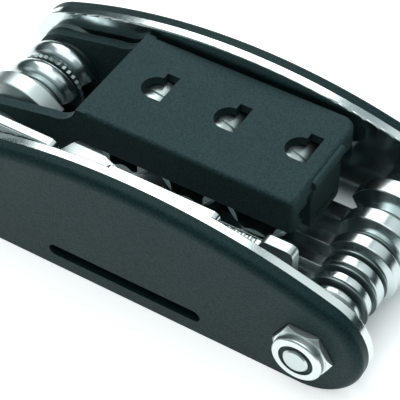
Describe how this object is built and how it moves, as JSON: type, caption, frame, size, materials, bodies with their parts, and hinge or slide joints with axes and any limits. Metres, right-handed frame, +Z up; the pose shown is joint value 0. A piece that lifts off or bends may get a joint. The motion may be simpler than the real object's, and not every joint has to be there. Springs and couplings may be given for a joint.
{
  "type": "folding bicycle multi-tool",
  "caption": "Folding multi-tool: arched steel side plates with plastic covers, hex keys on one bolt; screwdrivers, wrenches and a socket holder on the other.",
  "frame": {"origin": "middle of the tool, on the plane of the liners' straight bottom edges", "axes": "+X along the tool from the holder's bolt to the hex keys' bolt, +Y from the nut side to the head side, +Z up"},
  "size_m": [0.0934, 0.0506, 0.0272],
  "materials": {
    "liner_steel": "bright nickel-chrome plating on stamped steel",
    "cover_plastic": "fine spark-grained moulded ABS, satin",
    "bolt_steel": "zinc-plated steel",
    "nut_steel": "zinc-plated steel, smooth",
    "nylon": "moulded nylon",
    "holder_plastic": "matte moulded ABS, fine grain",
    "driver_steel": "satin nickel, bead-blasted",
    "socket_steel": "bright chrome, rolled",
    "plate_steel": "bright chrome on stamped plate",
    "spoke_steel": "nickel plating over a punched edge",
    "key_steel": "bright chrome on drawn bar",
    "washer_steel": "zinc-plated, turned"
  },
  "bodies": {
    "frame": {"near_liner": "liner_steel", "far_liner": "liner_steel", "near_cover": "cover_plastic", "far_cover": "cover_plastic", "left_bolt": "bolt_steel", "right_bolt": "bolt_steel", "left_nut": "nut_steel", "right_nut": "nut_steel", "left_nylon_ring": "nylon", "right_nylon_ring": "nylon", "right_near_spacer": "washer_steel", "right_far_spacer": "washer_steel", "left_near_spacer": "washer_steel", "left_far_washer": "washer_steel", "lock_washer": "washer_steel", "driver_shim": "washer_steel", "screwdriver_shim": "washer_steel", "shim_after_2": "washer_steel", "shim_after_2_5": "washer_steel", "shim_after_3": "washer_steel", "shim_after_4": "washer_steel", "shim_after_5": "washer_steel"},
    "holder": {"socket_holder": "holder_plastic", "socket_10": "socket_steel", "socket_9": "socket_steel", "socket_8": "socket_steel"},
    "wrench_plate": {"wrench_plate": "plate_steel"},
    "spoke_plate": {"spoke_plate": "spoke_steel"},
    "socket_driver": {"socket_driver": "driver_steel"},
    "detent_ball": {"detent_ball": "key_steel"},
    "cross_screwdriver": {"cross_screwdriver": "key_steel"},
    "slotted_screwdriver": {"slotted_screwdriver": "key_steel"},
    "hex_key_2": {"hex_key_2": "key_steel"},
    "hex_key_2_5": {"hex_key_2_5": "key_steel"},
    "hex_key_3": {"hex_key_3": "key_steel"},
    "hex_key_4": {"hex_key_4": "key_steel"},
    "hex_key_5": {"hex_key_5": "key_steel"},
    "hex_key_6": {"hex_key_6": "key_steel"}
  },
  "joints": [
    {"name": "holder_swing", "type": "hinge", "parent": "frame", "child": "holder", "pos_m": [-0.037, 0, 0.0094], "axis": [0, -1, 0], "range_deg": [0, 180]},
    {"name": "wrench_plate_swing", "type": "hinge", "parent": "frame", "child": "wrench_plate", "pos_m": [-0.037, 0, 0.0094], "axis": [0, -1, 0], "range_deg": [0, 180]},
    {"name": "spoke_plate_swing", "type": "hinge", "parent": "frame", "child": "spoke_plate", "pos_m": [-0.037, 0, 0.0094], "axis": [0, -1, 0], "range_deg": [0, 180]},
    {"name": "driver_swing", "type": "hinge", "parent": "frame", "child": "socket_driver", "pos_m": [-0.037, 0, 0.0094], "axis": [0, 1, 0], "range_deg": [0, 240]},
    {"name": "cross_screwdriver_swing", "type": "hinge", "parent": "frame", "child": "cross_screwdriver", "pos_m": [-0.037, 0, 0.0094], "axis": [0, 1, 0], "range_deg": [0, 240]},
    {"name": "slotted_screwdriver_swing", "type": "hinge", "parent": "frame", "child": "slotted_screwdriver", "pos_m": [-0.037, 0, 0.0094], "axis": [0, 1, 0], "range_deg": [0, 240]},
    {"name": "hex_key_2_swing", "type": "hinge", "parent": "frame", "child": "hex_key_2", "pos_m": [0.036, 0, 0.0094], "axis": [0, -1, 0], "range_deg": [0, 240]},
    {"name": "hex_key_2_5_swing", "type": "hinge", "parent": "frame", "child": "hex_key_2_5", "pos_m": [0.036, 0, 0.0094], "axis": [0, -1, 0], "range_deg": [0, 240]},
    {"name": "hex_key_3_swing", "type": "hinge", "parent": "frame", "child": "hex_key_3", "pos_m": [0.036, 0, 0.0094], "axis": [0, -1, 0], "range_deg": [0, 240]},
    {"name": "hex_key_4_swing", "type": "hinge", "parent": "frame", "child": "hex_key_4", "pos_m": [0.036, 0, 0.0094], "axis": [0, -1, 0], "range_deg": [0, 240]},
    {"name": "hex_key_5_swing", "type": "hinge", "parent": "frame", "child": "hex_key_5", "pos_m": [0.036, 0, 0.0094], "axis": [0, -1, 0], "range_deg": [0, 240]},
    {"name": "hex_key_6_swing", "type": "hinge", "parent": "frame", "child": "hex_key_6", "pos_m": [0.036, 0, 0.0094], "axis": [0, -1, 0], "range_deg": [0, 240]},
    {"name": "ball_press", "type": "slide", "parent": "socket_driver", "child": "detent_ball", "axis": [0, 0, -1], "range_m": [0, 0.0004], "stiffness_N_per_m": 1500, "springref_m": -0.0005}
  ]
}
